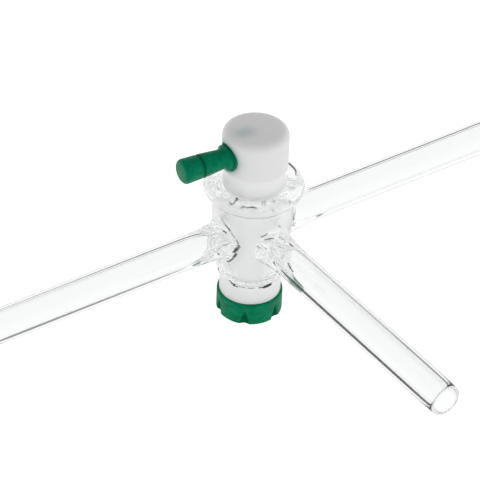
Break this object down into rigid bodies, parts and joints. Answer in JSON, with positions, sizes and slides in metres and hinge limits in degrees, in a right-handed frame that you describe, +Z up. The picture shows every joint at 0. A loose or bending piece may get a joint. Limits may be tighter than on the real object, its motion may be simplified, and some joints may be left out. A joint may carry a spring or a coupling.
{
  "type": "three-way glass stopcock",
  "caption": "Laboratory stopcock: a clear glass barrel with straight side tubes in a T, and a white plastic key turned by a green handle and held by a washer and grooved nut.",
  "frame": {"origin": "on the key's axis, in the plane of the nut's underside, on which the stopcock stands", "axes": "+Z up along the key's axis towards the head; the two run tubes lie along +X and -X; the branch tube lies along -Y; the handle points along -X, turned 3 degrees towards +Y"},
  "size_m": [0.15, 0.087, 0.0518],
  "materials": {
    "clear_glass": "clear flame-polished borosilicate glass, smooth tubes and a lumpy rolled rim",
    "white_fluoropolymer": "waxy, slightly translucent white fluoropolymer, turned",
    "green_handle_plastic": "moulded dark green plastic with a satin gloss",
    "white_fluoropolymer_washer": "waxy, slightly translucent white fluoropolymer",
    "black_rubber": "matt black elastomer",
    "green_nut_plastic": "moulded green plastic with a satin gloss"
  },
  "bodies": {
    "glass": {"glass_body": "clear_glass"},
    "plug": {"key": "white_fluoropolymer", "handle": "green_handle_plastic"},
    "stack": {"washer": "white_fluoropolymer_washer", "o_ring": "black_rubber"},
    "nut": {"nut": "green_nut_plastic"}
  },
  "joints": [
    {"name": "key_turn", "type": "hinge", "parent": "glass", "child": "plug", "pos_m": [0, 0, 0.0234], "axis": [0, 0, 1], "continuous": true},
    {"name": "stack_drop", "type": "slide", "parent": "plug", "child": "stack", "axis": [0, 0, -1], "range_m": [0, 0.00375]},
    {"name": "nut_turn", "type": "hinge", "parent": "stack", "child": "nut", "pos_m": [0, 0, 0.00285], "axis": [0, 0, -1], "range_deg": [0, 1080]}
  ],
  "couplings": [
    {"joint": "nut_turn", "follows": "stack_drop", "rad_per_m": 5026.5}
  ]
}
